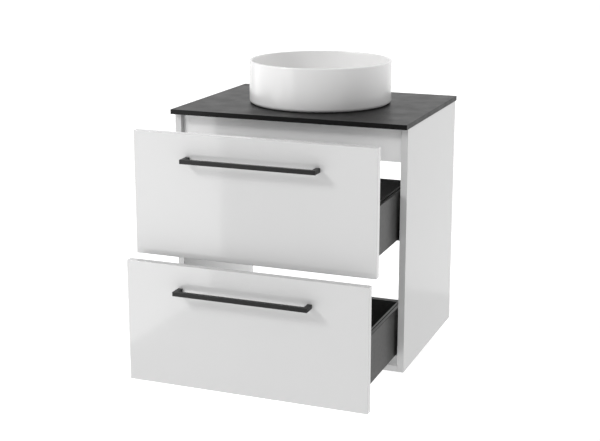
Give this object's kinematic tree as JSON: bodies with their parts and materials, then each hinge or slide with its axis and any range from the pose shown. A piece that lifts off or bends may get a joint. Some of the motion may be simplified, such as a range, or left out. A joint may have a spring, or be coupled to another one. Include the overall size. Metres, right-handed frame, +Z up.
{
  "type": "vessel sink on vanity",
  "caption": "Wall-hung bathroom vanity: gloss white cabinet, drawers on full-extension runners with bar handles, black worktop and round ceramic vessel basin with push-down waste plug.",
  "frame": {"origin": "centre of the hanging rail's back face, on the wall plane, midway between the cabinet sides", "axes": "+Z up, +Y into the wall, drawer fronts facing -Y, +X to the right of a person facing the fronts"},
  "size_m": [0.606, 0.7422, 0.7204],
  "materials": {
    "gloss_white": "high-gloss white lacquer on board",
    "black_worktop": "satin black laminate",
    "glazed_ceramic": "white glaze",
    "black_handle": "satin black powder coat",
    "anthracite_steel": "satin anthracite powder coat",
    "dark_board": "dark grey laminated board",
    "cast_zinc": "plain zinc",
    "galvanised_steel": "zinc-plated",
    "black_rubber": "matt",
    "chrome": "polished"
  },
  "bodies": {
    "cabinet": {"side_panel_left": "gloss_white", "side_panel_right": "gloss_white", "bottom_panel": "gloss_white", "front_rail": "gloss_white", "hanging_rail": "gloss_white", "hanger_left": "cast_zinc", "hanger_right": "cast_zinc", "worktop": "black_worktop", "basin": "glazed_ceramic", "waste_body": "chrome", "waste_top_seal": "black_rubber", "waste_under_seal": "black_rubber", "waste_nut": "chrome", "upper_runner_fixed_left": "galvanised_steel", "upper_runner_fixed_right": "galvanised_steel", "lower_runner_fixed_left": "galvanised_steel", "lower_runner_fixed_right": "galvanised_steel"},
    "upper_drawer": {"upper_front": "gloss_white", "upper_handle": "black_handle", "upper_handle_screw_left": "galvanised_steel", "upper_handle_screw_right": "galvanised_steel", "upper_box_bottom": "dark_board", "upper_box_back": "dark_board", "upper_box_side_left": "anthracite_steel", "upper_box_side_right": "anthracite_steel", "upper_bracket_left": "cast_zinc", "upper_bracket_right": "cast_zinc", "upper_runner_sliding_left": "galvanised_steel", "upper_runner_sliding_right": "galvanised_steel"},
    "upper_middle_left": {"upper_runner_middle_left": "galvanised_steel"},
    "upper_middle_right": {"upper_runner_middle_right": "galvanised_steel"},
    "lower_drawer": {"lower_front": "gloss_white", "lower_handle": "black_handle", "lower_handle_screw_left": "galvanised_steel", "lower_handle_screw_right": "galvanised_steel", "lower_box_bottom": "dark_board", "lower_box_back": "dark_board", "lower_box_side_left": "anthracite_steel", "lower_box_side_right": "anthracite_steel", "lower_bracket_left": "cast_zinc", "lower_bracket_right": "cast_zinc", "lower_runner_sliding_left": "galvanised_steel", "lower_runner_sliding_right": "galvanised_steel"},
    "lower_middle_left": {"lower_runner_middle_left": "galvanised_steel"},
    "lower_middle_right": {"lower_runner_middle_right": "galvanised_steel"},
    "plug": {"waste_plug": "chrome"}
  },
  "joints": [
    {"name": "upper_drawer_slide", "type": "slide", "parent": "cabinet", "child": "upper_drawer", "axis": [0, -1, 0], "range_m": [-0.2, 0.12]},
    {"name": "upper_middle_left_slide", "type": "slide", "parent": "cabinet", "child": "upper_middle_left", "axis": [0, -1, 0], "range_m": [-0.1, 0.06]},
    {"name": "upper_middle_right_slide", "type": "slide", "parent": "cabinet", "child": "upper_middle_right", "axis": [0, -1, 0], "range_m": [-0.1, 0.06]},
    {"name": "lower_drawer_slide", "type": "slide", "parent": "cabinet", "child": "lower_drawer", "axis": [0, -1, 0], "range_m": [-0.25, 0.07]},
    {"name": "lower_middle_left_slide", "type": "slide", "parent": "cabinet", "child": "lower_middle_left", "axis": [0, -1, 0], "range_m": [-0.125, 0.035]},
    {"name": "lower_middle_right_slide", "type": "slide", "parent": "cabinet", "child": "lower_middle_right", "axis": [0, -1, 0], "range_m": [-0.125, 0.035]},
    {"name": "plug_slide", "type": "slide", "parent": "cabinet", "child": "plug", "axis": [0, 0, 1], "range_m": [0, 0.008]}
  ],
  "couplings": [
    {"joint": "upper_middle_left_slide", "follows": "upper_drawer_slide", "ratio": 0.5},
    {"joint": "upper_middle_right_slide", "follows": "upper_drawer_slide", "ratio": 0.5},
    {"joint": "lower_middle_left_slide", "follows": "lower_drawer_slide", "ratio": 0.5},
    {"joint": "lower_middle_right_slide", "follows": "lower_drawer_slide", "ratio": 0.5}
  ]
}
